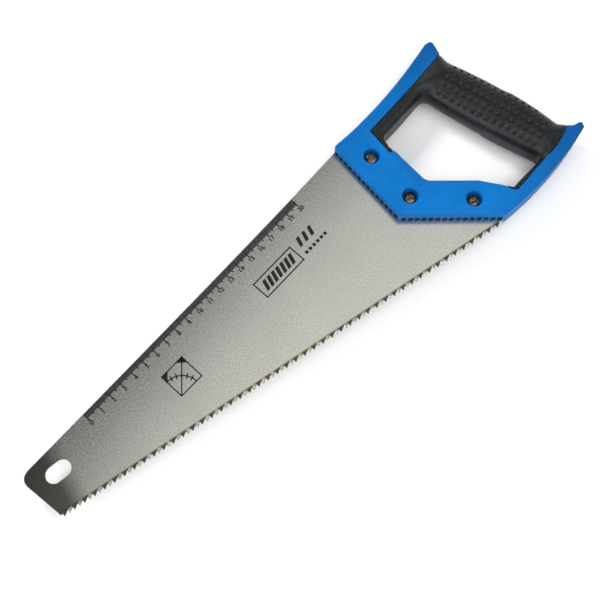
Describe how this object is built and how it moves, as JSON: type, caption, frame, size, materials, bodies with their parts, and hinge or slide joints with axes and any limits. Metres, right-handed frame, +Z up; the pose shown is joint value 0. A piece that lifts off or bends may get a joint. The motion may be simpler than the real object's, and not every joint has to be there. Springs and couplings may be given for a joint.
{
  "type": "hand saw",
  "caption": "Hand saw with a tapered toothed steel blade, a hanging slot at the toe, and a moulded closed handle with a soft grip, held by screws and barrel nuts.",
  "frame": {"origin": "under the middle of the saw's box, on the surface it lies on", "axes": "+X along the toothed edge from the toe to the handle, +Y from the teeth to the back, +Z up, square to the blade"},
  "size_m": [0.4456, 0.1396, 0.028],
  "materials": {
    "blade_steel": "satin, brushed",
    "handle_plastic": "satin moulded blue",
    "grip_rubber": "matt soft rubber",
    "fastener_steel": "dark bronzed"
  },
  "bodies": {
    "root": {"blade": "blade_steel", "handle_frame": "handle_plastic", "soft_grip": "grip_rubber", "screw_upper": "fastener_steel", "screw_middle": "fastener_steel", "screw_lower": "fastener_steel", "nut_upper": "fastener_steel", "nut_middle": "fastener_steel", "nut_lower": "fastener_steel"}
  },
  "joints": []
}
